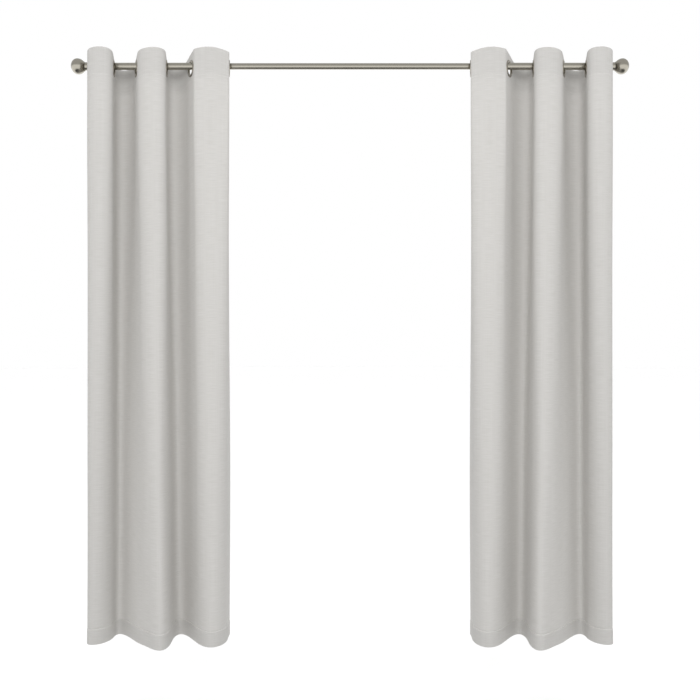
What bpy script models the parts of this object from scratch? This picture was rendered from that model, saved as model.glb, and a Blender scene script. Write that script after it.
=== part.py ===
"""A pair of eyelet curtains on a telescoping rod with ball finials and two wall brackets.

Metres, +Z up. The origin is on the wall, midway between the two brackets, at the height of the
rod's axis. +X runs along the rod, +Y points into the wall and -Y towards the room. The curtains
are drawn open, with all their folds gathered at the two ends of the rod.
"""

import math
from typing import NamedTuple

import bmesh
import bpy
from mathutils import Matrix, Vector

MM = 0.001

# Fits between pieces
FIT = 0.3 * MM  # between pieces that touch or slide on the real object
SEAT = 0.8 * MM  # between the top of the rod and the eyelets that hang on it

# Rod: two outer tubes that slide over one inner tube
ROD_PROJECTION = 95 * MM  # from the wall to the rod's axis
OUTER_TUBE_DIAMETER = 25.4 * MM
OUTER_TUBE_WALL = 1.2 * MM
OUTER_TUBE_LENGTH = 456 * MM
INNER_TUBE_WALL = 1.0 * MM
ROD_LENGTH = 1912 * MM  # between the far ends of the two outer tubes
TUBE_OVERLAP = 300 * MM  # length of inner tube inside each outer tube

# Finials
FINIAL_RADIUS = 28 * MM
FINIAL_DOME = 24 * MM  # from the widest part to the tip
FINIAL_SHOULDER = 29 * MM  # from the widest part to the collar
FINIAL_CONE = math.radians(45)  # between the rod and the straight part of the shoulder
FINIAL_WALL = 2 * MM
COLLAR_WALL = 1.5 * MM
COLLAR_END = 3.4 * MM
COLLAR_DEPTH = 6 * MM  # how far the collar reaches over the tube
STUD_RADIUS = 3 * MM
STUD_REACH = 34 * MM  # from the tube's end into the finial
PLUG_LENGTH = 18 * MM

# Brackets
BRACKET_INSET = 48 * MM  # from the tube's end to the bracket's centre
PLATE_WIDTH = 28 * MM
PLATE_HEIGHT = 76 * MM
PLATE_THICKNESS = 2.5 * MM
PLATE_HOLE_SPACING = 54 * MM
ARM_RADIUS = 5 * MM
SOCKET_WALL = 3 * MM
SOCKET_DEPTH = 8 * MM
CRADLE_WIDTH = 16 * MM
CRADLE_WALL = 2.5 * MM
CRADLE_LIP = 3 * MM  # how far the front of the cradle rises above the rod's axis
WALL_SCREW_RADIUS = 2.2 * MM
WALL_SCREW_HEAD_RADIUS = 4.2 * MM
WALL_SCREW_HEAD_HEIGHT = 2.2 * MM
THUMB_SCREW_RADIUS = 2.4 * MM
THUMB_HEAD_RADIUS = 6 * MM
THUMB_HEAD_HEIGHT = 6 * MM
THUMB_SHANK_SHOWN = 2 * MM  # bare shank between the cradle and the thumb screw's head
THUMB_FLUTES = 12

# Curtain panels
PANEL_WIDTH = 1067 * MM  # flat width of one panel
PANEL_LENGTH = 2134 * MM
PANEL_RISE = 40 * MM  # from the rod's axis up to the top edge
CLOTH = 1.6 * MM
EYELETS = 6
EDGE_MARGIN = 46 * MM  # from a panel's side edge to its nearest eyelet's centre
FIRST_EYELET_INSET = 12 * MM  # from the tube's end to the first eyelet's centre
STRIP_GAP = 1.0 * MM  # between two strips of cloth, where a fold opens

# Eyelets
EYELET_PLAY = 18 * MM  # how much wider the hole is than the rod
EYELET_BAND = 9 * MM  # from the hole out to the rim
EYELET_BARREL = 1.2 * MM
EYELET_DOME = 2.6 * MM
EYELET_BACK = 2.0 * MM
CLOTH_HOLE_PLAY = 0.4 * MM
EYELET_MARGIN = 1.5 * MM  # flat cloth beyond an eyelet's rim

ROUND_SEGMENTS = 24
EYELET_SEGMENTS = 20
SCREW_SEGMENTS = 12
SMOOTH_ANGLE = math.radians(35)

# How the cloth hangs, for the left panel, from the rod's end towards the window's middle.
# The share of its own length that the cloth between two eyelets spans along the rod:
HEADER_OPENING = (0.435, 0.425, 0.557, 0.46, 0.705)
HEM_OPENING = (0.295, 0.645, 0.505, 0.469, 0.557)
# The angle in plan between the rod and the cloth at each eyelet line, in degrees:
HEADER_ANGLE = (88, 100, 68, 98, 60, 100)
HEM_ANGLE = (125, 85, 46, 91, 59, 88)
# How far each eyelet line has swung back towards the wall at the hem:
HEM_SWING = (48 * MM, 53 * MM, -22 * MM, 9 * MM, 4 * MM, 39 * MM)
HEM_SHIFT = 11 * MM  # how far the first eyelet line moves along the rod at the hem
HEM_FLAT = 5 * MM  # the straight stretch on each side of an eyelet line at the hem
STIFF_HEADER = 130 * MM  # depth below the rod to which the header's shape holds
FOLD_STEPS = 6  # points along each side of a fold
CLOTH_LEVELS = 3  # rows of the cloth below the stiff header

# What follows from the sizes above
OUTER_TUBE_RADIUS = OUTER_TUBE_DIAMETER / 2
OUTER_TUBE_BORE = OUTER_TUBE_RADIUS - OUTER_TUBE_WALL
INNER_TUBE_RADIUS = OUTER_TUBE_BORE - FIT
TUBE_END = ROD_LENGTH / 2
BRACKET_X = TUBE_END - BRACKET_INSET
COLLAR_RADIUS = OUTER_TUBE_RADIUS + FIT + COLLAR_WALL
EYELET_HOLE = OUTER_TUBE_RADIUS + EYELET_PLAY / 2
EYELET_RIM = EYELET_HOLE + EYELET_BAND
EYELET_DROP = EYELET_HOLE - OUTER_TUBE_RADIUS - SEAT
EYELET_SPACING = (PANEL_WIDTH - 2 * EDGE_MARGIN) / (EYELETS - 1)
HEADER_FLAT = EYELET_RIM + EYELET_MARGIN
PANEL_BOTTOM = PANEL_RISE - PANEL_LENGTH

# Colours are linear red, green and blue, then metallic and roughness
FINISHES = {
    "nickel": ((0.42, 0.39, 0.34), 1.0, 0.32),
    "eyelet_metal": ((0.40, 0.37, 0.32), 1.0, 0.28),
    "zinc_screw": ((0.50, 0.50, 0.50), 1.0, 0.40),
    "cloth": ((0.64, 0.62, 0.59), 0.0, 0.85),
}


class Station(NamedTuple):
    """One eyelet line at one height: where it is in plan, and how the cloth runs through it."""

    point: Vector
    heading: Vector
    flat: float


def clear_scene():
    """Removes every object from the scene."""
    for obj in list(bpy.data.objects):
        bpy.data.objects.remove(obj)


def finish_material(name):
    """The material of that name, made once with its colour, metallic and roughness values."""
    found = bpy.data.materials.get(name)
    if found:
        return found
    colour, metallic, roughness = FINISHES[name]
    material = bpy.data.materials.new(name)
    material.use_nodes = True
    shader = material.node_tree.nodes["Principled BSDF"]
    shader.inputs["Base Color"].default_value = (*colour, 1)
    shader.inputs["Metallic"].default_value = metallic
    shader.inputs["Roughness"].default_value = roughness
    material.diffuse_color = (*colour, 1)
    return material


def empty(name, location, parent=None):
    """A carrier on a joint's axis, placed in world coordinates, for the pieces that move with it."""
    carrier = bpy.data.objects.new(name, None)
    bpy.context.scene.collection.objects.link(carrier)
    carrier.location = location
    if parent:
        keep_place_under(carrier, parent)
    return carrier


def keep_place_under(obj, parent):
    """Parents an object without moving it."""
    bpy.context.view_layer.update()
    obj.parent = parent
    obj.matrix_parent_inverse = parent.matrix_world.inverted()


def add_object(name, shape, finish, location=(0, 0, 0), parent=None):
    """Turns a bmesh into a named object with its finish and its origin at location."""
    bmesh.ops.recalc_face_normals(shape, faces=shape.faces)
    if shape.calc_volume(signed=True) < 0:
        bmesh.ops.reverse_faces(shape, faces=shape.faces)
    mesh = bpy.data.meshes.new(name)
    shape.to_mesh(mesh)
    shape.free()
    mesh.shade_smooth()
    mesh.set_sharp_from_angle(angle=SMOOTH_ANGLE)
    obj = bpy.data.objects.new(name, mesh)
    bpy.context.scene.collection.objects.link(obj)
    obj.location = location
    if finish:
        mesh.materials.append(finish_material(finish))
    else:
        obj.hide_render = True
        obj.display_type = "WIRE"
    if parent:
        keep_place_under(obj, parent)
    return obj


def turned(profile, steps=ROUND_SEGMENTS):
    """A closed turned shape about Z. The profile is a closed loop of (radius, height) points."""
    shape = bmesh.new()
    loop = [shape.verts.new((radius, 0, height)) for radius, height in profile]
    edges = [shape.edges.new((loop[i - 1], loop[i])) for i in range(len(loop))]
    bmesh.ops.spin(
        shape,
        geom=loop + edges,
        cent=(0, 0, 0),
        axis=(0, 0, 1),
        angle=2 * math.pi,
        steps=steps,
        use_merge=True,
    )
    bmesh.ops.remove_doubles(shape, verts=shape.verts, dist=FIT / 10)
    degenerate = [face for face in shape.faces if face.calc_area() < 1e-12]
    bmesh.ops.delete(shape, geom=degenerate, context="FACES_ONLY")
    return shape


def cylinder(radius, length, steps=ROUND_SEGMENTS):
    """A solid cylinder about Z, from height 0 to length."""
    shape = bmesh.new()
    bmesh.ops.create_cone(
        shape,
        cap_ends=True,
        segments=steps,
        radius1=radius,
        radius2=radius,
        depth=length,
        matrix=Matrix.Translation((0, 0, length / 2)),
    )
    return shape


def extruded(outline, depth):
    """A prism: a closed outline of (x, y) points, extruded from height 0 to depth along Z."""
    shape = bmesh.new()
    face = shape.faces.new([shape.verts.new((x, y, 0)) for x, y in outline])
    made = bmesh.ops.extrude_face_region(shape, geom=[face])
    moved = [item for item in made["geom"] if isinstance(item, bmesh.types.BMVert)]
    bmesh.ops.translate(shape, verts=moved, vec=(0, 0, depth))
    return shape


def arc(radius, start, end, steps):
    """Points on an arc about the origin, from start to end in degrees, both ends included."""
    angles = [math.radians(start + (end - start) * i / steps) for i in range(steps + 1)]
    return [(radius * math.cos(angle), radius * math.sin(angle)) for angle in angles]


def boolean(obj, other, operation):
    """Joins another object to obj, or cuts it away, and takes the other out of the model."""
    modifier = obj.modifiers.new(f"{operation.lower()}_{other.name}", "BOOLEAN")
    modifier.object = other
    modifier.operation = operation
    modifier.solver = "EXACT"
    other.hide_render = True
    other.display_type = "WIRE"


def along(direction):
    """The rotation that turns +Z to a direction."""
    return Vector(direction).to_track_quat("Z", "Y").to_matrix().to_4x4()


# ---------------------------------------------------------------- rod and finials


def make_tube(name, radius, wall, start, end, parent):
    """A tube along X from start to end, about the rod's axis."""
    profile = [(radius - wall, 0), (radius, 0), (radius, end - start), (radius - wall, end - start)]
    shape = turned(profile)
    shape.transform(along((1, 0, 0)))
    place = (start, -ROD_PROJECTION, 0)
    return add_object(name, shape, "nickel", place, parent)


def finial_profile():
    """The finial's outline, from its collar face to its tip, as (radius, distance) points."""
    shoulder_steps, dome_steps = 3, 6
    points = [(COLLAR_RADIUS, 0)]
    for i in range(shoulder_steps):
        turn = FINIAL_CONE * (1 - i / shoulder_steps)
        height = FINIAL_SHOULDER - FINIAL_RADIUS * math.sin(turn)
        points.append((FINIAL_RADIUS * math.cos(turn), height))
    for i in range(dome_steps + 1):
        turn = math.pi / 2 * i / dome_steps
        height = FINIAL_SHOULDER + FINIAL_DOME * math.sin(turn)
        points.append((FINIAL_RADIUS * math.cos(turn), height))
    return points


def make_finial(side, sign, carrier):
    """A hollow turned ball, its collar over the tube's end, and the studded plug inside the tube."""
    outward = along((sign, 0, 0))
    outer = finial_profile()
    inner_scale = 1 - FINIAL_WALL / FINIAL_RADIUS
    depth = FINIAL_SHOULDER + FINIAL_DOME
    bore = STUD_RADIUS + FIT
    inner = [
        (max(radius * inner_scale - FIT, 0), FINIAL_WALL + height * (1 - 2 * FINIAL_WALL / depth))
        for radius, height in reversed(outer[::2])
    ]
    outer[-1] = (0.0, outer[-1][1])
    inner[0] = (0.0, inner[0][1])
    ball = turned([(bore, 0), *outer, *inner, (bore, inner[-1][1])])
    ball.transform(outward)
    ball_x = sign * (TUBE_END + 2 * FIT + COLLAR_END)
    place = (ball_x, -ROD_PROJECTION, 0)
    add_object(f"{side}_finial_ball", ball, "nickel", place, carrier)

    collar_inner = OUTER_TUBE_RADIUS + FIT
    open_end = -COLLAR_DEPTH
    collar = turned(
        [
            (collar_inner, open_end),
            (COLLAR_RADIUS - 0.5 * COLLAR_WALL, open_end),
            (COLLAR_RADIUS, open_end + 0.5 * COLLAR_WALL),
            (COLLAR_RADIUS, FIT + COLLAR_END),
            (bore, FIT + COLLAR_END),
            (bore, FIT),
            (collar_inner, FIT),
        ]
    )
    collar.transform(outward)
    place = (sign * TUBE_END, -ROD_PROJECTION, 0)
    add_object(f"{side}_finial_collar", collar, "nickel", place, carrier)

    plug_radius = OUTER_TUBE_BORE - FIT
    plug = turned(
        [
            (0, -PLUG_LENGTH),
            (plug_radius, -PLUG_LENGTH),
            (plug_radius, 0),
            (STUD_RADIUS, 0),
            (STUD_RADIUS, STUD_REACH - STUD_RADIUS / 2),
            (STUD_RADIUS / 2, STUD_REACH),
            (0, STUD_REACH),
        ]
    )
    plug.transform(outward)
    add_object(f"{side}_finial_plug", plug, "zinc_screw", place, carrier)


def make_rod():
    """The inner tube, which stays put, and the two outer tubes that slide out with their finials."""
    inner_end = TUBE_END - OUTER_TUBE_LENGTH + TUBE_OVERLAP
    make_tube("inner_tube", INNER_TUBE_RADIUS, INNER_TUBE_WALL, -inner_end, inner_end, None)
    for side, sign in SIDES:
        carrier = empty(f"{side}_tube_carrier", (sign * TUBE_END, -ROD_PROJECTION, 0))
        ends = sorted((sign * TUBE_END, sign * (TUBE_END - OUTER_TUBE_LENGTH)))
        name = f"{side}_outer_tube"
        make_tube(name, OUTER_TUBE_RADIUS, OUTER_TUBE_WALL, *ends, carrier)
        make_finial(side, sign, carrier)


# ---------------------------------------------------------------- brackets


def make_wall_plate(side, x):
    """An oval plate against the wall, with a socket for the arm and two screw holes."""
    half_straight = (PLATE_HEIGHT - PLATE_WIDTH) / 2
    top = [(px, py + half_straight) for px, py in arc(PLATE_WIDTH / 2, 0, 180, 10)]
    bottom = [(px, py - half_straight) for px, py in arc(PLATE_WIDTH / 2, 180, 360, 10)]
    shape = extruded(top + bottom, PLATE_THICKNESS)
    to_room = along((0, -1, 0))
    shape.transform(to_room)
    plate = add_object(f"{side}_wall_plate", shape, "nickel", (x, 0, 0))
    socket = turned(
        [
            (ARM_RADIUS + FIT, PLATE_THICKNESS),
            (ARM_RADIUS + FIT, SOCKET_DEPTH),
            (ARM_RADIUS + SOCKET_WALL, SOCKET_DEPTH),
            (ARM_RADIUS + SOCKET_WALL, PLATE_THICKNESS / 2),
            (ARM_RADIUS + FIT, PLATE_THICKNESS / 2),
        ]
    )
    socket.transform(to_room)
    boolean(plate, add_object(f"{side}_plate_socket_guide", socket, None, (x, 0, 0)), "UNION")
    for level in (-1, 1):
        hole = cylinder(WALL_SCREW_RADIUS + FIT, 3 * PLATE_THICKNESS, SCREW_SEGMENTS)
        hole.transform(to_room)
        place = (x, PLATE_THICKNESS, level * PLATE_HOLE_SPACING / 2)
        cutter = add_object(f"{side}_screw_hole_guide_{level + 1}", hole, None, place)
        boolean(plate, cutter, "DIFFERENCE")


def make_wall_screws(side, x):
    """Two pan-head screws through the plate, cut flush where they enter the wall."""
    head_base = PLATE_THICKNESS + FIT
    for level, word in ((-1, "lower"), (1, "upper")):
        screw = turned(
            [
                (0, FIT),
                (WALL_SCREW_RADIUS, FIT),
                (WALL_SCREW_RADIUS, head_base),
                (WALL_SCREW_HEAD_RADIUS, head_base),
                (WALL_SCREW_HEAD_RADIUS * 0.9, head_base + WALL_SCREW_HEAD_HEIGHT * 0.7),
                (WALL_SCREW_HEAD_RADIUS * 0.5, head_base + WALL_SCREW_HEAD_HEIGHT),
                (0, head_base + WALL_SCREW_HEAD_HEIGHT),
            ],
            SCREW_SEGMENTS,
        )
        screw.transform(along((0, -1, 0)))
        place = (x, 0, level * PLATE_HOLE_SPACING / 2)
        add_object(f"{side}_wall_screw_{word}", screw, "zinc_screw", place)


def make_arm(side, x):
    """A round bar from the plate's socket to the cradle's."""
    start = PLATE_THICKNESS + FIT
    end = ROD_PROJECTION - cradle_back() - FIT
    shape = cylinder(ARM_RADIUS, end - start)
    shape.transform(along((0, -1, 0)))
    add_object(f"{side}_bracket_arm", shape, "nickel", (x, -start, 0))


def cradle_back():
    """The distance from the rod's axis to the flat back of the cradle's cup."""
    return OUTER_TUBE_RADIUS + FIT + CRADLE_WALL


def make_cradle(side, x):
    """An open-topped cup that the rod lies in, with a socket for the arm and a threaded hole below."""
    inner = OUTER_TUBE_RADIUS + FIT
    outer = inner + CRADLE_WALL
    back_rise = ARM_RADIUS + SOCKET_WALL
    # In plan the outline's x is world -Y (towards the room) and its y is world Z.
    cup = [
        (inner, CRADLE_LIP),
        (outer, CRADLE_LIP),
        *arc(outer, 0, -90, 8),
        (-outer, -outer),
        (-outer, back_rise),
        (-inner, back_rise),
        *arc(inner, 180, 360, 16),
    ]
    shape = extruded(cup, CRADLE_WIDTH)
    turn = Matrix(((0, 0, 1, -CRADLE_WIDTH / 2), (-1, 0, 0, 0), (0, 1, 0, 0), (0, 0, 0, 1)))
    shape.transform(turn)
    place = (x, -ROD_PROJECTION, 0)
    cradle = add_object(f"{side}_rod_cradle", shape, "nickel", place)
    socket = turned(
        [
            (ARM_RADIUS + FIT, outer),
            (ARM_RADIUS + FIT, outer + SOCKET_DEPTH),
            (ARM_RADIUS + SOCKET_WALL, outer + SOCKET_DEPTH),
            (ARM_RADIUS + SOCKET_WALL, outer - CRADLE_WALL / 2),
            (ARM_RADIUS + FIT, outer - CRADLE_WALL / 2),
        ]
    )
    socket.transform(along((0, 1, 0)))
    boolean(cradle, add_object(f"{side}_cradle_socket_guide", socket, None, place), "UNION")
    hole = cylinder(THUMB_SCREW_RADIUS + FIT, 3 * CRADLE_WALL, SCREW_SEGMENTS)
    hole_place = (x, -ROD_PROJECTION, -outer - CRADLE_WALL)
    cutter = add_object(f"{side}_thumb_hole_guide", hole, None, hole_place)
    boolean(cradle, cutter, "DIFFERENCE")


def make_thumb_screw(side, x):
    """The fluted screw below the cradle whose tip holds the rod. It turns about its own axis."""
    tip = -OUTER_TUBE_RADIUS - FIT
    head_top = -(OUTER_TUBE_RADIUS + FIT + CRADLE_WALL) - THUMB_SHANK_SHOWN
    fluted = []
    points_per_flute = 2
    for i in range(THUMB_FLUTES * points_per_flute):
        radius = THUMB_HEAD_RADIUS * (1 if i % points_per_flute else 0.9)
        angle = 2 * math.pi * i / (THUMB_FLUTES * points_per_flute)
        fluted.append((radius * math.cos(angle), radius * math.sin(angle)))
    head = extruded(fluted, THUMB_HEAD_HEIGHT)
    head.transform(Matrix.Translation((0, 0, head_top - THUMB_HEAD_HEIGHT)))
    place = (x, -ROD_PROJECTION, 0)
    carrier = empty(f"{side}_thumb_screw_carrier", place)
    screw = add_object(f"{side}_thumb_screw", head, "nickel", place, carrier)
    shank_start = head_top - THUMB_HEAD_HEIGHT / 2
    shank = cylinder(THUMB_SCREW_RADIUS, tip - shank_start, SCREW_SEGMENTS)
    shank.transform(Matrix.Translation((0, 0, shank_start)))
    boolean(screw, add_object(f"{side}_thumb_shank_guide", shank, None, place), "UNION")


def make_brackets():
    """One bracket near each end of the rod, behind the first fold of each panel."""
    for side, sign in SIDES:
        x = sign * BRACKET_X
        make_wall_plate(side, x)
        make_wall_screws(side, x)
        make_arm(side, x)
        make_cradle(side, x)
        make_thumb_screw(side, x)


# ---------------------------------------------------------------- how the cloth hangs


def eyelet_stations(fall):
    """The six eyelet lines in plan at one height. fall is 0 in the header and 1 at the hem.

    Plan coordinates are those of the left panel, from the rod's axis: x along the rod and y
    towards the wall. Odd lines run from the wall side to the room side, and even lines back.
    """
    first = -TUBE_END + FIRST_EYELET_INSET
    x_header, x_hem = first, first + HEM_SHIFT
    stations = []
    for i in range(EYELETS):
        if i:
            x_header += HEADER_OPENING[i - 1] * EYELET_SPACING
            x_hem += HEM_OPENING[i - 1] * EYELET_SPACING
        angle = math.radians(HEADER_ANGLE[i] + (HEM_ANGLE[i] - HEADER_ANGLE[i]) * fall)
        forward = -1 if i % 2 == 0 else 1
        stations.append(
            Station(
                Vector((x_header + (x_hem - x_header) * fall, HEM_SWING[i] * fall)),
                Vector((math.cos(angle), forward * math.sin(angle))),
                HEADER_FLAT + (HEM_FLAT - HEADER_FLAT) * fall,
            )
        )
    return stations


def bezier(points, t):
    """The point at t on a cubic curve with four control points."""
    a, b, c, d = points
    u = 1 - t
    return a * u**3 + 3 * b * u * u * t + 3 * c * u * t * t + d * t**3


def curve_length(points, steps=24):
    """The length of a cubic curve."""
    line = [bezier(points, i / steps) for i in range(steps + 1)]
    return sum((line[i + 1] - line[i]).length for i in range(steps))


def fold_curve(before, after, cloth_length):
    """The cubic through a fold between two eyelet lines that uses exactly the cloth there is."""
    start = before.point + before.heading * before.flat
    end = after.point - after.heading * after.flat
    low, high = 0.0, 3 * cloth_length
    for _ in range(40):
        handle = (low + high) / 2
        points = (start, start + before.heading * handle, end - after.heading * handle, end)
        if curve_length(points) < cloth_length:
            low = handle
        else:
            high = handle
    return points


def strip_outline(i, fall):
    """The plan of strip i, which runs from mid-fold to mid-fold through eyelet line i."""
    stations = eyelet_stations(fall)
    here = stations[i]
    edge = here.heading * EDGE_MARGIN
    near = here.heading * here.flat
    outline = [here.point - near, here.point + near]
    if i == 0:
        outline.insert(0, here.point - edge)
    else:
        outline = half_fold(stations[i - 1], here, True)[:-1] + outline
    if i == EYELETS - 1:
        outline.append(here.point + edge)
    else:
        outline = outline + half_fold(here, stations[i + 1], False)[1:]
    return outline


def half_fold(before, after, second_half):
    """Points along one half of a fold, closest together near its apex, short of the other half."""
    points = fold_curve(before, after, EYELET_SPACING - before.flat - after.flat)
    apex_speed = (points[3] + points[2] - points[1] - points[0]).length * 0.75
    reach = 0.5 - STRIP_GAP / 2 / apex_speed
    shares = [reach * math.sin(math.pi / 2 * i / FOLD_STEPS) for i in range(FOLD_STEPS + 1)]
    if second_half:
        return [bezier(points, 1 - share) for share in reversed(shares)]
    return [bezier(points, share) for share in shares]


def cloth_levels():
    """The heights of the rows of the cloth, each with its fall from the header's shape."""
    below_eyelets = -EYELET_DROP - HEADER_FLAT - EYELET_MARGIN
    levels = [(PANEL_RISE, 0.0), (below_eyelets, 0.0), (-STIFF_HEADER, 0.0)]
    for i in range(1, CLOTH_LEVELS + 1):
        share = i / CLOTH_LEVELS
        levels.append((-STIFF_HEADER + (PANEL_BOTTOM + STIFF_HEADER) * share, share))
    return levels


# ---------------------------------------------------------------- curtain panels


def make_strip(side, sign, i, carrier, station):
    """A full-length strip of cloth, lofted down the panel, with the hole for its eyelet."""
    shape = bmesh.new()
    rows = [(height, strip_outline(i, fall)) for height, fall in cloth_levels()]
    height, outline = rows[0]
    row = [shape.verts.new((sign * -p.x, p.y, height)) for p in outline]
    edges = [shape.edges.new((row[k], row[k + 1])) for k in range(len(row) - 1)]
    for height, outline in rows[1:]:
        made = bmesh.ops.extrude_edge_only(shape, edges=edges)["geom"]
        edges = [item for item in made if isinstance(item, bmesh.types.BMEdge)]
        below = {}
        for vert in {v for edge in edges for v in edge.verts}:
            above = next(e.other_vert(vert) for e in vert.link_edges if e not in edges)
            below[above] = vert
        row = [below[vert] for vert in row]
        for vert, p in zip(row, outline):
            vert.co = (sign * -p.x, p.y, height)
    shape.transform(Matrix.Translation((-carrier.location.x, 0, 0)))
    strip = add_object(f"{side}_cloth_strip_{i + 1}", shape, "cloth", carrier.location, carrier)
    thicken = strip.modifiers.new("cloth_thickness", "SOLIDIFY")
    thicken.thickness = CLOTH
    thicken.offset = 0

    hole_radius = EYELET_HOLE + EYELET_BARREL + CLOTH_HOLE_PLAY
    hole = cylinder(hole_radius, 10 * CLOTH)
    hole.transform(Matrix.Translation((0, 0, -5 * CLOTH)))
    hole.transform(facing(station, sign))
    place = eyelet_place(station, sign)
    cutter = add_object(f"{side}_cloth_hole_guide_{i + 1}", hole, None, place, carrier)
    boolean(strip, cutter, "DIFFERENCE")


def facing(station, sign):
    """The rotation that turns +Z to the face side of the cloth at an eyelet line."""
    return along((station.heading.y * -sign, -station.heading.x, 0))


def eyelet_place(station, sign):
    """The centre of an eyelet, hanging on the rod."""
    return (sign * -station.point.x, -ROD_PROJECTION, -EYELET_DROP)


def make_eyelet(side, sign, i, carrier, station):
    """The domed face ring with its barrel through the cloth, and the ring clenched behind it."""
    hole, rim = EYELET_HOLE, EYELET_RIM
    barrel = hole + EYELET_BARREL
    seat = CLOTH / 2 + FIT
    crown = hole + 0.45 * EYELET_BAND
    place = eyelet_place(station, sign)
    face = turned(
        [
            (hole, -seat - 0.9 * EYELET_BACK),
            (barrel, -seat - 0.9 * EYELET_BACK),
            (barrel, seat),
            (rim, seat),
            (rim, seat + 0.3 * EYELET_DOME),
            (hole + 0.75 * EYELET_BAND, seat + 0.9 * EYELET_DOME),
            (crown, seat + EYELET_DOME),
            (hole, seat + 0.5 * EYELET_DOME),
        ],
        EYELET_SEGMENTS,
    )
    face.transform(facing(station, sign))
    add_object(f"{side}_eyelet_{i + 1}_face", face, "eyelet_metal", place, carrier)
    back = turned(
        [
            (barrel + FIT, -seat),
            (barrel + FIT, -seat - 0.9 * EYELET_BACK),
            (crown, -seat - EYELET_BACK),
            (rim, -seat - 0.3 * EYELET_BACK),
            (rim, -seat),
        ],
        EYELET_SEGMENTS,
    )
    back.transform(facing(station, sign))
    add_object(f"{side}_eyelet_{i + 1}_back", back, "eyelet_metal", place, carrier)


def make_panel(side, sign):
    """One panel: six eyelets on carriers along the rod, each with its strip of the cloth.

    Each carrier is the child of the one before it, because the cloth between two eyelets
    lets the next one move only relative to the last.
    """
    carrier = None
    for i, station in enumerate(eyelet_stations(0.0)):
        place = (sign * -station.point.x, -ROD_PROJECTION, 0)
        carrier = empty(f"{side}_eyelet_{i + 1}_carrier", place, carrier)
        bpy.context.view_layer.update()
        make_strip(side, sign, i, carrier, station)
        make_eyelet(side, sign, i, carrier, station)


SIDES = (("left", -1), ("right", 1))

clear_scene()
make_rod()
make_brackets()
for panel_side, panel_sign in SIDES:
    make_panel(panel_side, panel_sign)
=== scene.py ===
"""A pair of eyelet curtains, drawn open on a telescoping nickel rod, in a plain soft studio."""

from __future__ import annotations

import logging
import math
from dataclasses import dataclass, field
from enum import Enum

import bmesh
import bpy
import numpy as np
from mathutils import Matrix, Vector


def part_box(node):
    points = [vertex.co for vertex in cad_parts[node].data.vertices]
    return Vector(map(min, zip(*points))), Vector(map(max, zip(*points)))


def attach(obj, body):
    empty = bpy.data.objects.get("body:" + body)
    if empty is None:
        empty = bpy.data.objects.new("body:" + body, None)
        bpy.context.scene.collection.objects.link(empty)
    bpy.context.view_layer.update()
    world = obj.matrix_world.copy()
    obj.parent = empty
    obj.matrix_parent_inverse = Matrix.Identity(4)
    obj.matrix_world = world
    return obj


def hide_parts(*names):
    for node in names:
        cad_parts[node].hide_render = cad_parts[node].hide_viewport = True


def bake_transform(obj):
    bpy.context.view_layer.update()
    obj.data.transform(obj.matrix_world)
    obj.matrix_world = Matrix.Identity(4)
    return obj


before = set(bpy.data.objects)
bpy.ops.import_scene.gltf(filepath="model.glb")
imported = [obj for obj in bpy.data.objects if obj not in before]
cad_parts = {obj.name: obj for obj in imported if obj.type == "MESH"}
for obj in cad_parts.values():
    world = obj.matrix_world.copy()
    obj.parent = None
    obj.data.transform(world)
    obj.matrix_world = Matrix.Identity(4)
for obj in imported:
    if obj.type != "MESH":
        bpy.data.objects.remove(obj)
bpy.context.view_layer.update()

LOG = logging.getLogger("curtains")
MM = 0.001
ROOT_BODY = "rod_and_brackets"


class Side(Enum):
    """The two ends of the rod, each with the sign of its X."""

    LEFT = -1
    RIGHT = 1

    @property
    def word(self) -> str:
        """The side's word in the names of pieces and bodies."""
        return self.name.lower()


class Hang(Enum):
    """Which way the cloth runs through an eyelet line, from the rod's end towards the middle."""

    TO_ROOM = -1
    TO_WALL = 1


# ---------------------------------------------------------------- colour and nodes


def linear(hex_colour: str) -> tuple[float, float, float, float]:
    """Turns an sRGB hex colour into linear RGBA.

    Args:
        hex_colour: Six hex digits, with or without a leading #.

    Returns:
        Linear red, green and blue from 0 to 1, and an alpha of 1.
    """
    digits = hex_colour.lstrip("#")
    channels = [int(digits[i : i + 2], 16) / 255 for i in (0, 2, 4)]
    red, green, blue = (c / 12.92 if c <= 0.04045 else ((c + 0.055) / 1.055) ** 2.4 for c in channels)
    return (red, green, blue, 1.0)


def add_node(tree: bpy.types.NodeTree, kind: str, settings: dict, links: dict) -> bpy.types.Node:
    """Adds a node with its settings and incoming links.

    Args:
        tree: The node tree that gets the node.
        kind: The node's Blender type without its "ShaderNode", such as "Math".
        settings: Attribute or input names, or input indices, and their values.
        links: Input names or indices, and the output sockets that feed them.

    Returns:
        The new node.
    """
    node = tree.nodes.new(f"ShaderNode{kind}")
    for name, value in settings.items():
        if isinstance(name, str) and hasattr(node, name):
            setattr(node, name, value)
        else:
            node.inputs[name].default_value = value
    for name, socket in links.items():
        tree.links.new(socket, node.inputs[name])
    return node


def new_material(name: str) -> tuple[bpy.types.Material, bpy.types.NodeTree, bpy.types.Node]:
    """Makes an empty Principled material.

    Args:
        name: The material's name.

    Returns:
        The material, its node tree and its Principled BSDF.
    """
    material = bpy.data.materials.new(name)
    material.use_nodes = True
    tree = material.node_tree
    return material, tree, tree.nodes["Principled BSDF"]


# ---------------------------------------------------------------- finishes


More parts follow.
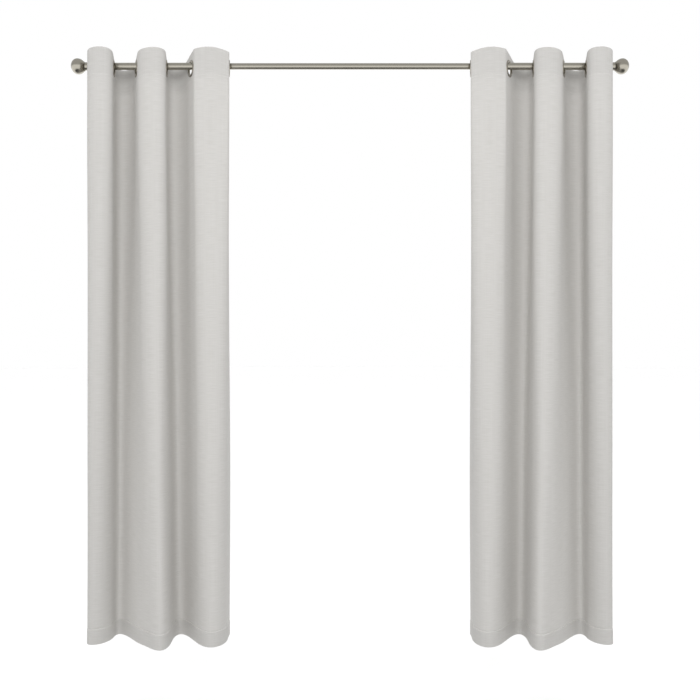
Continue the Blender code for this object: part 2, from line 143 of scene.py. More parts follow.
@dataclass(frozen=True)
class WovenCloth:
    """Plain-woven polyester with a linen look: slubbed weft threads over a finer warp.

    The slubs give faint level streaks, the warp gives fainter upright ones, and the brushed
    fibres give a soft sheen on the crests of the folds.
    """

    name: str = "linen_look_plain_weave"
    light_thread: str = "#CDCBC8"
    dark_thread: str = "#C3C1BD"
    thread_pitch: float = 1.1 * MM  # real threads are about 0.4 mm apart, too fine to show
    slub_length: float = 45 * MM
    slub_height: float = 2.2 * MM
    streak_width: float = 3 * MM
    streak_length: float = 260 * MM
    relief: float = 0.2 * MM
    glow: float = 0.15  # the light that scatters in the threads
    glow_depth: float = 4 * MM
    fuzz: float = 0.12  # the sheen of the brushed fibres

    def make(self) -> bpy.types.Material:
        """Builds the material on the cloth's own UV map, whose unit is a metre.

        Returns:
            The material.
        """
        material, tree, shader = new_material(self.name)
        uv = add_node(tree, "UVMap", {"uv_map": "cloth"}, {}).outputs["UV"]
        slub_scale = (1 / self.slub_length, 1 / self.slub_height, 1)
        streak_scale = (1 / self.streak_width, 1 / self.streak_length, 1)
        stretched = [
            add_node(tree, "Mapping", {"Scale": scale}, {"Vector": uv}).outputs[0]
            for scale in (slub_scale, streak_scale)
        ]
        slub, streak = (
            add_node(tree, "TexNoise", {"Scale": 1.0, "Detail": 3.0}, {"Vector": vector})
            for vector in stretched
        )
        cloudy = add_node(tree, "TexNoise", {"Scale": 7.0, "Detail": 2.0}, {"Vector": uv})
        waves = [
            add_node(
                tree,
                "TexWave",
                {"bands_direction": direction, "Scale": math.pi / 10 / self.thread_pitch, "Distortion": 0.6},
                {"Vector": uv},
            )
            for direction in ("X", "Y")
        ]
        weave = add_node(
            tree,
            "Math",
            {"operation": "MULTIPLY"},
            {0: waves[0].outputs["Fac"], 1: waves[1].outputs["Fac"]},
        )
        threads = add_node(
            tree,
            "Math",
            {"operation": "MULTIPLY_ADD", 1: 0.35},
            {0: streak.outputs["Fac"], 2: slub.outputs["Fac"]},
        )
        tone = add_node(
            tree,
            "MapRange",
            {"From Min": 0.45, "From Max": 0.9, "To Min": 0.0, "To Max": 1.0},
            {"Value": threads.outputs[0]},
        )
        colour = add_node(
            tree,
            "Mix",
            {"data_type": "RGBA", 6: linear(self.dark_thread), 7: linear(self.light_thread)},
            {0: tone.outputs[0]},
        )
        tree.links.new(colour.outputs[2], shader.inputs["Base Color"])
        rough = add_node(
            tree, "MapRange", {"To Min": 0.78, "To Max": 0.92}, {"Value": cloudy.outputs["Fac"]}
        )
        tree.links.new(rough.outputs[0], shader.inputs["Roughness"])
        height = add_node(
            tree,
            "Math",
            {"operation": "MULTIPLY_ADD", 1: 0.5},
            {0: weave.outputs[0], 2: slub.outputs["Fac"]},
        )
        bump = add_node(
            tree, "Bump", {"Strength": 0.22, "Distance": self.relief}, {"Height": height.outputs[0]}
        )
        tree.links.new(bump.outputs[0], shader.inputs["Normal"])
        shader.inputs["Subsurface Weight"].default_value = self.glow
        shader.inputs["Subsurface Radius"].default_value = (1.0, 0.95, 0.9)
        shader.inputs["Subsurface Scale"].default_value = self.glow_depth
        shader.inputs["Sheen Weight"].default_value = self.fuzz
        shader.inputs["Sheen Roughness"].default_value = 0.45
        shader.inputs["IOR"].default_value = 1.46
        return material


@dataclass(frozen=True)
class SewingThread:
    """Spun polyester thread with its twist as fine bumps, a shade lighter than the cloth: partly the
    thread's own colour, partly a painted highlight where the stitches catch the light.
    """

    name: str = "spun_polyester_thread"
    # lighter than the cloth: partly the thread's own colour, partly a painted highlight on the stitched seam
    colour: str = "#F0EEEA"
    twist: float = 0.8 * MM

    def make(self) -> bpy.types.Material:
        """Builds the thread's material.

        Returns:
            The material.
        """
        material, tree, shader = new_material(self.name)
        coords = add_node(tree, "TexCoord", {}, {}).outputs["Object"]
        fibres = add_node(tree, "TexNoise", {"Scale": 1 / self.twist, "Detail": 1.0}, {"Vector": coords})
        bump = add_node(
            tree, "Bump", {"Strength": 0.3, "Distance": 0.1 * MM}, {"Height": fibres.outputs["Fac"]}
        )
        tree.links.new(bump.outputs[0], shader.inputs["Normal"])
        shader.inputs["Base Color"].default_value = linear(self.colour)
        shader.inputs["Roughness"].default_value = 0.6
        return material


@dataclass(frozen=True)
class BrushedMetal:
    """Plated steel, brushed round its length, so highlights stretch into bright and dark bands."""

    name: str
    colour: str
    shade: str
    roughness: float
    grain: float = 0.5 * MM  # brush lines, drawn coarser than the real 0.05 mm so that they show
    grain_length: float = 60 * MM
    grain_axis: int = 0
    relief: float = 0.012 * MM

    def make(self) -> bpy.types.Material:
        """Builds the metal on object coordinates.

        Returns:
            The material.
        """
        material, tree, shader = new_material(self.name)
        coords = add_node(tree, "TexCoord", {}, {}).outputs["Object"]
        scale = [1 / self.grain_length] * 3
        scale[self.grain_axis] = 1 / self.grain
        lines = add_node(tree, "Mapping", {"Scale": scale}, {"Vector": coords})
        brush = add_node(tree, "TexNoise", {"Scale": 1.0, "Detail": 4.0}, {"Vector": lines.outputs[0]})
        handling = add_node(tree, "TexNoise", {"Scale": 22.0, "Detail": 3.0}, {"Vector": coords})
        colour = add_node(
            tree,
            "Mix",
            {"data_type": "RGBA", 6: linear(self.shade), 7: linear(self.colour)},
            {0: brush.outputs["Fac"]},
        )
        tree.links.new(colour.outputs[2], shader.inputs["Base Color"])
        smear = add_node(
            tree,
            "Math",
            {"operation": "MULTIPLY_ADD", 1: 0.35},
            {0: handling.outputs["Fac"], 2: brush.outputs["Fac"]},
        )
        rough = add_node(
            tree,
            "MapRange",
            {
                "From Min": 0.4,
                "From Max": 1.0,
                "To Min": self.roughness * 0.8,
                "To Max": self.roughness * 1.25,
            },
            {"Value": smear.outputs[0]},
        )
        tree.links.new(rough.outputs[0], shader.inputs["Roughness"])
        bump = add_node(
            tree, "Bump", {"Strength": 0.35, "Distance": self.relief}, {"Height": brush.outputs["Fac"]}
        )
        tree.links.new(bump.outputs[0], shader.inputs["Normal"])
        shader.inputs["Metallic"].default_value = 1.0
        return material


@dataclass
class Finishes:
    """One of each material, made once."""

    cloth: bpy.types.Material = field(init=False)
    thread: bpy.types.Material = field(init=False)
    rod_nickel: bpy.types.Material = field(init=False)
    bracket_nickel: bpy.types.Material = field(init=False)
    eyelet_nickel: bpy.types.Material = field(init=False)
    zinc: bpy.types.Material = field(init=False)

    def __post_init__(self) -> None:
        """Makes the materials."""
        self.cloth = WovenCloth().make()
        self.thread = SewingThread().make()
        self.rod_nickel = BrushedMetal("brushed_nickel_tube", "#ABA79C", "#98948A", 0.24).make()
        self.bracket_nickel = BrushedMetal(
            "brushed_nickel_bracket", "#ABA79C", "#98948A", 0.3, grain_axis=2
        ).make()
        self.eyelet_nickel = BrushedMetal(
            "satin_nickel_eyelet", "#A39E93", "#918C82", 0.2, grain=0.8 * MM, grain_length=8 * MM
        ).make()
        self.zinc = BrushedMetal("zinc_plated_screw", "#B9B9B6", "#A5A6A6", 0.35, grain_length=3 * MM).make()


# ---------------------------------------------------------------- mesh helpers


def put_in_scene(name: str, data: bpy.types.ID) -> bpy.types.Object:
    """Makes an object at the origin and links it to the scene."""
    made = bpy.data.objects.new(name, data)
    bpy.context.scene.collection.objects.link(made)
    return made


def finish_piece(
    name: str, shape: bmesh.types.BMesh, materials: list[bpy.types.Material], sharp: float = 35
) -> bpy.types.Object:
    """Turns a bmesh into a piece at the origin, with its place in its mesh.

    Args:
        name: The piece's name.
        shape: The finished shape. It is freed.
        materials: The piece's materials.
        sharp: The angle in degrees past which an edge is shaded sharp.

    Returns:
        The piece.
    """
    mesh = bpy.data.meshes.new(name)
    shape.to_mesh(mesh)
    shape.free()
    mesh.shade_smooth()
    mesh.set_sharp_from_angle(angle=math.radians(sharp))
    piece = put_in_scene(name, mesh)
    for material in materials:
        mesh.materials.append(material)
    LOG.info("%s: %d faces", name, len(mesh.polygons))
    return piece


def point_outwards(shape: bmesh.types.BMesh) -> None:
    """Recalculates a closed shape's normals and makes sure that they point out."""
    bmesh.ops.recalc_face_normals(shape, faces=shape.faces)
    if shape.calc_volume(signed=True) < 0:
        bmesh.ops.reverse_faces(shape, faces=shape.faces)


def turned(profile: list[tuple[float, float]], steps: int) -> bmesh.types.BMesh:
    """Turns a closed profile about Z.

    Args:
        profile: A closed loop of (radius, height) points.
        steps: How many segments go round.

    Returns:
        The closed shape.
    """
    shape = bmesh.new()
    loop = [shape.verts.new((radius, 0, height)) for radius, height in profile]
    edges = [shape.edges.new((loop[i - 1], loop[i])) for i in range(len(loop))]
    bmesh.ops.spin(
        shape,
        geom=loop + edges,
        cent=(0, 0, 0),
        axis=(0, 0, 1),
        angle=2 * math.pi,
        steps=steps,
        use_merge=True,
    )
    bmesh.ops.remove_doubles(shape, verts=shape.verts, dist=0.01 * MM)
    slivers = [face for face in shape.faces if face.calc_area() < 1e-13]
    bmesh.ops.delete(shape, geom=slivers, context="FACES_ONLY")
    point_outwards(shape)
    return shape


def merge(shape: bmesh.types.BMesh, other: bmesh.types.BMesh) -> None:
    """Adds another shape's faces to a shape, and frees the other."""
    mesh = bpy.data.meshes.new("merged")
    other.to_mesh(mesh)
    other.free()
    shape.from_mesh(mesh)
    bpy.data.meshes.remove(mesh)


def along(direction: tuple[float, float, float], place: tuple[float, float, float]) -> Matrix:
    """The matrix that turns +Z to a direction and moves the origin to a place."""
    turn = Vector(direction).to_track_quat("Z", "Y").to_matrix().to_4x4()
    return Matrix.Translation(place) @ turn


def arc_points(
    centre: tuple[float, float], radius: float, start: float, end: float, steps: int
) -> list[tuple[float, float]]:
    """Points on an arc in a profile.

    Args:
        centre: The arc's centre, as (radius, height).
        radius: The arc's own radius.
        start: The first point's angle in degrees.
        end: The last point's angle in degrees.
        steps: How many stretches the arc has.

    Returns:
        The points, both ends included.
    """
    angles = [math.radians(start + (end - start) * i / steps) for i in range(steps + 1)]
    return [(centre[0] + radius * math.cos(a), centre[1] + radius * math.sin(a)) for a in angles]


# ---------------------------------------------------------------- rod and finials


@dataclass
class CurtainRod:
    """The telescoping rod with a turned finial at each end."""

    finishes: Finishes
    segments: int = 96
    edge_round: float = 0.5 * MM
    wall: float = 1.2 * MM
    shoulder: float = 29 * MM  # from a ball's collar face to its widest part
    stud_bore: float = 3.4 * MM
    tubes: list[bpy.types.Object] = field(default_factory=list)

    def build(self) -> None:
        """Builds the inner tube, and each outer tube with its finial."""
        self.tubes.append(self.tube("inner_tube", ROOT_BODY))
        for side in Side:
            body = f"{side.word}_outer_tube_body"
            self.tubes.append(self.tube(f"{side.word}_outer_tube", body))
            self.finial(side, body)

    def tube(self, node: str, body: str) -> bpy.types.Object:
        """Builds a tube along X with rounded ends in a CAD tube's place.

        Args:
            node: The CAD node that it replaces.
            body: The body that it rides on.

        Returns:
            The tube.
        """
        low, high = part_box(node)
        radius = (high.z - low.z) / 2
        inner = radius - self.wall
        length = high.x - low.x
        r = self.edge_round
        profile = [
            (inner, r),
            *arc_points((inner + r, r), r, 180, 270, 4)[1:],
            *arc_points((radius - r, r), r, -90, 0, 4),
            *arc_points((radius - r, length - r), r, 0, 90, 4),
            *arc_points((inner + r, length - r), r, 90, 180, 4),
        ]
        shape = turned(profile, self.segments)
        shape.transform(along((1, 0, 0), (low.x, (low.y + high.y) / 2, (low.z + high.z) / 2)))
        piece = finish_piece(f"{node}_fine", shape, [self.finishes.rod_nickel])
        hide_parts(node)
        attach(piece, body)
        return piece

    def finial(self, side: Side, body: str) -> None:
        """Builds a finial's ball and collar in their CAD nodes' places.

        Args:
            side: The end of the rod.
            body: The body that they ride on.
        """
        for part, maker in (("ball", self.ball_profile), ("collar", self.collar_profile)):
            node = f"{side.word}_finial_{part}"
            low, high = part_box(node)
            near = high.x if side is Side.LEFT else low.x
            place = (near, (low.y + high.y) / 2, (low.z + high.z) / 2)
            shape = turned(maker((high.z - low.z) / 2, high.x - low.x), self.segments)
            shape.transform(along((side.value, 0, 0), place))
            piece = finish_piece(f"{node}_fine", shape, [self.finishes.rod_nickel], 50)
            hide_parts(node)
            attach(piece, body)

    def ball_profile(self, radius: float, depth: float) -> list[tuple[float, float]]:
        """The ball's closed profile, from its collar face at height 0 to its tip.

        Args:
            radius: The ball's largest radius.
            depth: Its whole length.

        Returns:
            The outline: a straight-sided shoulder that runs into a round dome, and a thin wall.
        """
        neck, wall, bore = 14.2 * MM, 2 * MM, self.stud_bore
        middle, dome = self.shoulder, depth - self.shoulder
        outer = self.ball_curve(radius, middle, dome)
        inside = self.ball_curve(radius - wall, middle, dome - wall)[::-3]
        foot = [(neck, 0.0), (neck, 1.2 * MM), (neck - 0.8 * MM, 1.6 * MM), (neck + 0.3 * MM, 2.1 * MM)]
        return [(bore, 0.0), *foot, *outer, *inside, (neck - wall, wall), (bore, wall)]

    @staticmethod
    def ball_curve(radius: float, middle: float, dome: float) -> list[tuple[float, float]]:
        """The ball's curve, from where its cone begins to its tip.

        Args:
            radius: The largest radius.
            middle: The height of the widest part.
            dome: The height of the dome above it.

        Returns:
            Points from 45 degrees below the widest part to the axis.
        """
        below, above = np.linspace(-math.pi / 4, 0, 10), np.linspace(0, math.pi / 2, 22)
        low = [(radius * math.cos(a), middle + radius * math.sin(a)) for a in below]
        high = [(radius * math.cos(a), middle + dome * math.sin(a)) for a in above]
        return [*low, *high[1:-1], (0.0, middle + dome)]

    def collar_profile(self, radius: float, depth: float) -> list[tuple[float, float]]:
        """The collar's closed profile, from its open end at height 0 to the ball.

        Args:
            radius: The collar's outer radius.
            depth: Its whole length.

        Returns:
            The outline, with a rounded lip at each end.
        """
        inner, floor, r = radius - 1.5 * MM, depth - 3.4 * MM, 0.7 * MM
        lip = arc_points((radius - r, r), r, -90, 0, 5)
        rim = arc_points((radius - r, depth - r), r, 0, 90, 5)
        return [(inner, 0.0), *lip, *rim, (self.stud_bore, depth), (self.stud_bore, floor), (inner, floor)]


# ---------------------------------------------------------------- how the cloth hangs


@dataclass(frozen=True)
class EyeletLine:
    """Where one eyelet's upright line is in plan at some height, and how the cloth crosses it."""

    point: np.ndarray
    heading: np.ndarray
    flat: float


@dataclass
class Drape:
    """The hang of the left panel in plan, from its header down to its hem.

    Plan coordinates are about the rod's axis, with y towards the wall. Widths along the cloth
    are measured from the panel's outer side edge, and depths down from its top edge.
    """

    rod_y: float
    rod_end: float
    top: float
    length: float
    width: float = 1067 * MM
    eyelets: int = 6
    edge_margin: float = 46 * MM
    first_inset: float = 12 * MM
    eyelet_drop: float = 8.2 * MM
    header_opening: tuple[float, ...] = (0.435, 0.425, 0.557, 0.46, 0.705)
    hem_opening: tuple[float, ...] = (0.295, 0.645, 0.505, 0.469, 0.557)
    header_angle: tuple[float, ...] = (88, 100, 68, 98, 60, 100)
    hem_angle: tuple[float, ...] = (125, 85, 46, 91, 59, 88)
    hem_swing: tuple[float, ...] = (48 * MM, 53 * MM, -22 * MM, 9 * MM, 4 * MM, 39 * MM)
    hem_shift: float = 11 * MM
    header_flat: float = 32.2 * MM
    hem_flat: float = 5 * MM
    stiff_header: float = 170 * MM
    hem: float = 56 * MM
    lean: float = 0.27  # how far the top edge rises for each metre that a fold stands forward
    header_rise: tuple[float, ...] = (-13 * MM, -9 * MM, -9 * MM, -9 * MM, 6 * MM, -16 * MM)
    rise_depth: float = 300 * MM  # depth at which the top edge's rise has died out
    last_crown: float = 12 * MM  # how much the widest fold's top edge arches
    curve_steps: int = 48
    rows: dict[float, tuple[np.ndarray, np.ndarray]] = field(default_factory=dict)

    @property
    def spacing(self) -> float:
        """The width of cloth between two eyelets."""
        return (self.width - 2 * self.edge_margin) / (self.eyelets - 1)

    @property
    def eyelet_depth(self) -> float:
        """The depth of the eyelets' centres below the top edge."""
        return self.top + self.eyelet_drop

    def line_width(self, i: int) -> float:
        """The width along the cloth at which eyelet line i lies."""
        return self.edge_margin + i * self.spacing

    def fall(self, depth: float) -> float:
        """How far the shape has gone from the header's, at 0, to the hem's, at 1."""
        share = min(max((depth - self.stiff_header) / (self.length - self.stiff_header), 0.0), 1.0)
        ease = 0.06  # the share of the fall over which it starts gently
        if share < ease:
            return share * share / (2 * ease) / (1 - ease / 2)
        return (share - ease / 2) / (1 - ease / 2)

    def lines(self, fall: float) -> list[EyeletLine]:
        """The eyelet lines in plan.

        Args:
            fall: 0 in the header and 1 at the hem.

        Returns:
            One line for each eyelet, from the rod's end inwards.
        """
        first = -self.rod_end + self.first_inset
        x_header, x_hem = first, first + self.hem_shift
        found = []
        for i in range(self.eyelets):
            if i:
                x_header += self.header_opening[i - 1] * self.spacing
                x_hem += self.hem_opening[i - 1] * self.spacing
            hang = Hang.TO_ROOM if i % 2 == 0 else Hang.TO_WALL
            angle = math.radians(self.header_angle[i] + (self.hem_angle[i] - self.header_angle[i]) * fall)
            point = np.array((x_header + (x_hem - x_header) * fall, self.hem_swing[i] * fall))
            heading = np.array((math.cos(angle), hang.value * math.sin(angle)))
            flat = self.header_flat + (self.hem_flat - self.header_flat) * fall
            found.append(EyeletLine(point, heading, flat))
        return found

    def fold(self, before: EyeletLine, after: EyeletLine) -> np.ndarray:
        """The curve through a fold that uses exactly the cloth between two eyelet lines.

        Args:
            before: The line at which the fold starts.
            after: The line at which it ends.

        Returns:
            Points in plan, from one line's flat stretch to the other's.
        """
        start = before.point + before.heading * before.flat
        end = after.point - after.heading * after.flat
        cloth = self.spacing - before.flat - after.flat
        t = np.linspace(0, 1, self.curve_steps + 1)[:, None]
        low, high = 0.0, 3 * cloth
        for _ in range(30):
            handle = (low + high) / 2
            b = start + before.heading * handle
            c = end - after.heading * handle
            curve = start * (1 - t) ** 3 + 3 * b * t * (1 - t) ** 2 + 3 * c * t * t * (1 - t) + end * t**3
            if np.linalg.norm(np.diff(curve, axis=0), axis=1).sum() < cloth:
                low = handle
            else:
                high = handle
        return curve

    def row(self, depth: float) -> tuple[np.ndarray, np.ndarray]:
        """The whole cloth in plan at one depth.

        Args:
            depth: The depth below the top edge.

        Returns:
            Widths along the cloth, and the plan point at each.
        """
        key = round(self.fall(depth), 6)
        if key in self.rows:
            return self.rows[key]
        lines = self.lines(key)
        edge = self.edge_margin
        points = [lines[0].point - lines[0].heading * edge, lines[0].point]
        widths = [0.0, self.line_width(0)]
        for i in range(self.eyelets - 1):
            curve = self.fold(lines[i], lines[i + 1])
            steps = np.linalg.norm(np.diff(curve, axis=0), axis=1)
            run = np.concatenate(([0.0], np.cumsum(steps)))
            run *= (self.spacing - lines[i].flat - lines[i + 1].flat) / run[-1]
            points.extend(curve)
            widths.extend(self.line_width(i) + lines[i].flat + run)
            points.append(lines[i + 1].point)
            widths.append(self.line_width(i + 1))
        points.append(lines[-1].point + lines[-1].heading * edge)
        widths.append(self.width)
        self.rows[key] = (np.array(widths), np.array(points))
        return self.rows[key]

    def ripple(self, widths: np.ndarray, depth: float) -> np.ndarray:
        """The small unevenness of hung cloth, which is straight and still at the eyelet lines.

        Args:
            widths: Widths along the cloth.
            depth: The depth below the top edge.

        Returns:
            How far each point stands proud of the smooth fold.
        """
        u = (widths - self.edge_margin) / self.spacing
        loose = 1 - math.exp(-max(depth - self.stiff_header, 0.0) / (450 * MM))
        drift = 1 + 0.45 * np.sin(1.9 * u + 2.1 * depth)
        wide = np.sin(math.pi * u) * math.sin(2.6 * depth + 0.7)
        middle = np.sin(2 * math.pi * u) * math.sin(4.3 * depth + 1.9)
        narrow = np.sin(4 * math.pi * u) * math.sin(7.7 * depth + 0.4)
        return loose * drift * (1.6 * wide + 1.1 * middle + 0.35 * narrow) * MM

    def seam_relief(self, depth: float) -> float:
        """The groove that the hem's stitches pull, and the thicker hem that stands out below it."""
        from_seam = depth - (self.length - self.hem)
        groove = -0.9 * MM * math.exp(-((from_seam / (1.6 * MM)) ** 2))
        body = 0.6 * MM * (1 + math.tanh((from_seam - 1.5 * MM) / (0.8 * MM)))
        return groove + body

    def place(self, widths: np.ndarray, depths: np.ndarray, proud: np.ndarray) -> np.ndarray:
        """Hangs points of the flat cloth in space.

        Args:
            widths: Widths along the cloth.
            depths: Depths below the top edge, one for each point.
            proud: How far each point stands in front of the cloth's middle.

        Returns:
            Positions in the row frame, one row each.
        """
        found = np.empty((len(widths), 3))
        for depth in np.unique(depths):
            chosen = depths == depth
            known, points = self.row(float(depth))
            w = widths[chosen]
            x, y = (np.interp(w, known, points[:, k]) for k in (0, 1))
            step = 1.5 * MM
            ahead = np.clip(w + step, 0, self.width)
            behind = np.clip(w - step, 0, self.width)
            (x1, y1), (x0, y0) = (
                [np.interp(there, known, points[:, k]) for k in (0, 1)] for there in (ahead, behind)
            )
            tx, ty = x1 - x0, y1 - y0
            norm = np.hypot(tx, ty)
            out = proud[chosen] + self.ripple(w, float(depth)) + self.seam_relief(float(depth))
            found[chosen, 0] = x + out * ty / norm
            found[chosen, 1] = y + out * -tx / norm + self.rod_y
            left = max(0.0, 1 - float(depth) / self.rise_depth)
            found[chosen, 2] = self.top - depth + left * (self.rise(w) - self.lean * y)
        return found

    def lift(self, widths: np.ndarray) -> np.ndarray:
        """How far the header hangs above its flat height at some widths, by its rise and its lean."""
        known, points = self.row(self.eyelet_depth)
        return self.rise(widths) - self.lean * np.interp(widths, known, points[:, 1])

    def rise(self, widths: np.ndarray) -> np.ndarray:
        """How far the top edge stands above its flat height at some widths."""
        lines = [self.line_width(i) for i in range(self.eyelets)]
        last = np.clip((widths - lines[-2]) / self.spacing, 0, 1)
        return np.interp(widths, lines, self.header_rise) + self.last_crown * np.sin(math.pi * last) ** 2

    def facing(self, i: int) -> Vector:
        """The level direction in which the cloth's face looks at eyelet i."""
        heading = self.lines(0.0)[i].heading
        return Vector((heading[1], -heading[0], 0))


# ---------------------------------------------------------------- curtain panels


@dataclass
class CurtainPanel:
    """One panel: five folds and two edge strips, hemmed, faced and stitched, on six eyelets."""

    side: Side
    drape: Drape
    finishes: Finishes
    rod_pieces: list[bpy.types.Object]
    cloth: float = 0.45 * MM
    face_proud: float = 0.8 * MM
    facing_depth: float = 98 * MM
    facing_gap: float = 1.6 * MM
    hem_gap: float = 2.2 * MM
    side_hem: float = 14 * MM
    side_gap: float = 1.0 * MM
    hole: float = 23.3 * MM
    stitch: float = 3.0 * MM
    stitch_gap: float = 1.0 * MM
    stitch_shape: bpy.types.Mesh = field(init=False)

    def __post_init__(self) -> None:
        """Makes the round shape that every stitch is stretched from."""
        ball = bmesh.new()
        bmesh.ops.create_uvsphere(ball, u_segments=6, v_segments=4, radius=1)
        self.stitch_shape = bpy.data.meshes.new("stitch")
        ball.to_mesh(self.stitch_shape)
        ball.free()

    def build(self) -> None:
        """Builds the eyelets, the cloth and the stitching."""
        eyelets = [self.eyelet(i) for i in range(self.drape.eyelets)]
        last = self.drape.eyelets - 1
        for k in range(-1, last + 1):
            name = "outer_edge" if k < 0 else "inner_edge" if k == last else f"fold_{k + 1}"
            start = 0.0 if k < 0 else self.drape.line_width(k)
            end = self.drape.width if k == last else self.drape.line_width(k + 1)
            cloth = self.strip(f"{self.side.word}_{name}_cloth", start, end)
            thread = self.stitching(f"{self.side.word}_{name}_stitching", start, end)
            for piece in (cloth, thread):
                self.attach(piece, k)
            node = f"{self.side.word}_cloth_strip_{min(max(k + 1, 0), last) + 1}"
            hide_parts(node)

    def body(self, i: int) -> str:
        """The body that eyelet i belongs to."""
        return ROOT_BODY if i == 0 else f"{self.side.word}_eyelet_{i + 1}_body"

    def attach(self, piece: bpy.types.Object, k: int) -> None:
        """Makes an edge strip ride on its eyelet's body, and bakes a fold's place into its mesh.

        Args:
            piece: The cloth or stitching.
            k: The fold's number from 0, -1 for the outer edge, or the last eyelet's for the inner.
        """
        last = self.drape.eyelets - 1
        if k < 0 or k == last:
            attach(piece, self.body(max(k, 0)))
            return
        header, hem = self.drape.lines(0.0), self.drape.lines(1.0)
        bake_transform(piece)

    def length_path(self) -> list[tuple[float, float, float]]:
        """The cloth's path down the panel.

        Returns:
            (depth, offset, length run so far) points: up the facing, over the top edge, down the
            face, round the bottom edge and up the back of the hem.
        """
        length, seam = self.drape.length, self.drape.length - self.drape.hem
        header = list(np.arange(4, 118, 4) * MM)
        body = list(np.linspace(118 * MM, seam - 24 * MM, 150))
        close = list(seam + np.arange(-4, 4.5, 0.75) * MM)
        low = [*np.linspace(seam - 21 * MM, seam - 6 * MM, 6), *close]
        low += list(np.linspace(seam + 6 * MM, length - 3 * MM, 20))
        path = [(d, -self.facing_gap) for d in np.linspace(self.facing_depth, 3 * MM, 24)]
        path += self.turn(0.0, self.facing_gap, 1)
        path += [(d, 0.0) for d in header + body + low]
        path += self.turn(length, self.hem_gap, -1)
        path += [(d, -self.hem_gap) for d in np.linspace(length - 4 * MM, seam - 4 * MM, 14)]
        return self.with_run(path)

    def width_path(self, start: float, end: float) -> list[tuple[float, float, float]]:
        """The cloth's path across one strip, with the side hem folded back at a panel's edge.

        Args:
            start: The width at which the strip starts.
            end: The width at which it ends.

        Returns:
            (width, offset, width run so far) points.
        """
        cells = max(round((end - start) / (4 * MM)), 4)
        inner = list(np.linspace(start, end, cells + 1))
        flap = np.linspace(self.side_hem, 2 * MM, 4)
        path = []
        if start == 0.0:
            path += [(w, -self.side_gap) for w in flap] + self.turn(0.0, self.side_gap, 1)
            inner = [w for w in inner if w > 2 * MM]
        if end == self.drape.width:
            inner = [w for w in inner if w < end - 2 * MM]
        path += [(w, 0.0) for w in inner]
        if end == self.drape.width:
            path += self.turn(end, self.side_gap, -1) + [(end - w, -self.side_gap) for w in reversed(flap)]
        return self.with_run(path)

    @staticmethod
    def turn(edge: float, gap: float, inward: int) -> list[tuple[float, float]]:
        """A half-round fold at an edge.

        Args:
            edge: Where the edge lies.
            gap: The distance between the two layers.
            inward: 1 where the cloth lies at larger values than the edge, or -1 at smaller.

        Returns:
            (place, offset) points, in the order in which the path meets them.
        """
        radius = gap / 2
        steps = 6
        angles = [math.pi * i / steps for i in range(steps + 1)]
        points = [(edge + inward * radius * (1 - math.sin(a)), -radius * (1 - math.cos(a))) for a in angles]
        return points[::-1] if inward > 0 else points

    @staticmethod
    def with_run(path: list[tuple[float, float]]) -> list[tuple[float, float, float]]:
        """Adds to each point of a path the distance run to it."""
        run = [0.0]
        for (a, b), (c, d) in zip(path, path[1:]):
            run.append(run[-1] + math.hypot(c - a, d - b))
        return [(place, offset, r) for (place, offset), r in zip(path, run)]

    def strip(self, name: str, start: float, end: float) -> bpy.types.Object:
        """Builds one strip of the panel, hung in its folds, with its hems and eyelet holes.

        Args:
            name: The strip's name.
            start: The width at which it starts.
            end: The width at which it ends.

        Returns:
            The strip.
        """
        across = self.width_path(start, end)
        down = self.length_path()
        shape = bmesh.new()
        made = bmesh.ops.create_grid(shape, x_segments=len(across) - 1, y_segments=len(down) - 1, size=0.5)
        columns, rows = len(across) - 1, len(down) - 1
        cells = [
            (across[round((v.co.x + 0.5) * columns)], down[round((0.5 - v.co.y) * rows)])
            for v in made["verts"]
        ]
        flat = np.array([(a[0], d[0]) for a, d in cells])
        proud = np.array([self.face_proud + a[1] + d[1] for a, d in cells])
        uv = shape.loops.layers.uv.new("cloth")
        run = {v: (a[2] + start, d[2]) for v, (a, d) in zip(made["verts"], cells)}
        self.cut_holes(shape, made["verts"], flat, start, end)
        for face in shape.faces:
            for loop in face.loops:
                loop[uv].uv = run[loop.vert]
        places = self.drape.place(flat[:, 0], flat[:, 1], proud)
        for vert, place in zip(made["verts"], places):
            if vert.is_valid:
                vert.co = place
        self.thicken(shape)
        self.to_side(shape)
        return finish_piece(name, shape, [self.finishes.cloth], 80)

    def to_side(self, shape: bmesh.types.BMesh) -> None:
        """Mirrors a shape that was hung on the left, where the panel is the right one."""
        if self.side is Side.RIGHT:
            shape.transform(Matrix.Diagonal((-1, 1, 1, 1)))
            bmesh.ops.reverse_faces(shape, faces=shape.faces)

    def cut_holes(
        self,
        shape: bmesh.types.BMesh,
        verts: list[bmesh.types.BMVert],
        flat: np.ndarray,
        start: float,
        end: float,
    ) -> None:
        """Cuts the round eyelet holes out of the flat grid, through every layer, round as they hang.

        Args:
            shape: The grid.
            verts: Its vertices.
            flat: Each vertex's width and depth. Those on a hole's rim are moved onto the circle.
            start: The width at which the strip starts.
            end: The width at which it ends.
        """
        index = {vert: i for i, vert in enumerate(verts)}
        lift, reach = self.drape.lift(flat[:, 0]), self.drape.rise_depth
        hung = np.stack((flat[:, 0], flat[:, 1] * (1 + lift / reach) - lift), axis=1)
        for i in range(self.drape.eyelets):
            width = self.drape.line_width(i)
            if not start - MM <= width <= end + MM:
                continue
            centre = np.array((width, self.drape.eyelet_depth))
            away = np.linalg.norm(hung - centre, axis=1)
            near = {v for v in shape.verts if away[index[v]] < self.hole - 0.5 * MM}
            doomed = {face for vert in near for face in vert.link_faces}
            rim = {v for f in doomed for v in f.verts if any(o not in doomed for o in v.link_faces)}
            bmesh.ops.delete(shape, geom=list(doomed), context="FACES")
            for vert in rim:
                k = index[vert]
                across, down = centre + (hung[k] - centre) * self.hole / away[k]
                raised = float(self.drape.lift(np.array([across]))[0])
                flat[k] = across, (down + raised) / (1 + raised / reach)

